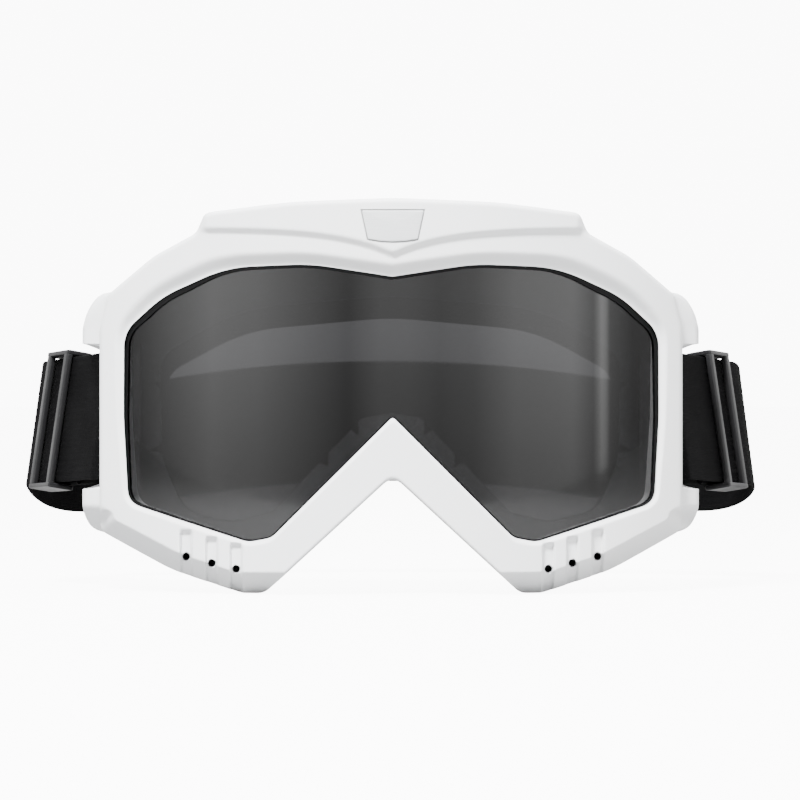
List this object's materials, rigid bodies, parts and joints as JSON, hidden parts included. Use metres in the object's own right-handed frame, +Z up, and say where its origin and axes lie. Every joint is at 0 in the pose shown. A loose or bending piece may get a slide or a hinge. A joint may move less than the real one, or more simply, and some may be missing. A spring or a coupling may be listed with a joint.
{
  "type": "motorcycle goggles",
  "caption": "White wide-frame motorcycle goggles with a smoke cylindrical lens, nose notch, layered face foam and an elastic strap with sliders that adjust its length.",
  "frame": {"origin": "on the table, under the middle of the whole pair with its strap standing out in a loop behind it", "axes": "+Z up, -Y the way the lens faces, +X to the right of someone who looks at the lens"},
  "size_m": [0.2223, 0.1797, 0.1123],
  "materials": {
    "frame": "satin moulded",
    "lens": "polished smoke polycarbonate",
    "seal": "matt",
    "badge": "fine satin",
    "foam": "open-cell foam",
    "fleece": "brushed",
    "vent_foam": "coarse open-cell foam",
    "webbing": "ribbed elastic weave",
    "thread": "bar-tack stitches",
    "slider": "moulded"
  },
  "bodies": {
    "goggles": {"front_frame": "frame", "face_flange": "frame", "lens": "lens", "lens_seal": "seal", "badge": "badge", "foam_firm": "foam", "foam_soft": "foam", "face_fleece": "fleece", "brow_vent_foam": "vent_foam", "chin_vent_foam_right": "vent_foam", "strap_run_right": "webbing", "strap_return_right": "webbing", "strap_side_right": "webbing", "chin_vent_foam_left": "vent_foam", "strap_run_left": "webbing", "strap_return_left": "webbing", "strap_side_left": "webbing"},
    "adjuster_right": {"slider_right": "slider", "strap_tack_right": "thread"},
    "adjuster_left": {"slider_left": "slider", "strap_tack_left": "thread"},
    "strap_back": {"strap_rear": "webbing"}
  },
  "joints": [
    {"name": "adjust_right", "type": "slide", "parent": "goggles", "child": "adjuster_right", "axis": [0.381, 0.9235, -0.0435], "range_m": [-0.013, 0.006], "deforming": ["strap_return_right"]},
    {"name": "adjust_left", "type": "slide", "parent": "goggles", "child": "adjuster_left", "axis": [-0.381, 0.9235, -0.0435], "range_m": [-0.013, 0.006], "deforming": ["strap_return_left"]},
    {"name": "strap_stretch", "type": "slide", "parent": "goggles", "child": "strap_back", "axis": [0, 1, 0], "range_m": [0, 0.06], "stiffness_N_per_m": 120, "deforming": ["strap_side_right", "strap_side_left"]}
  ]
}
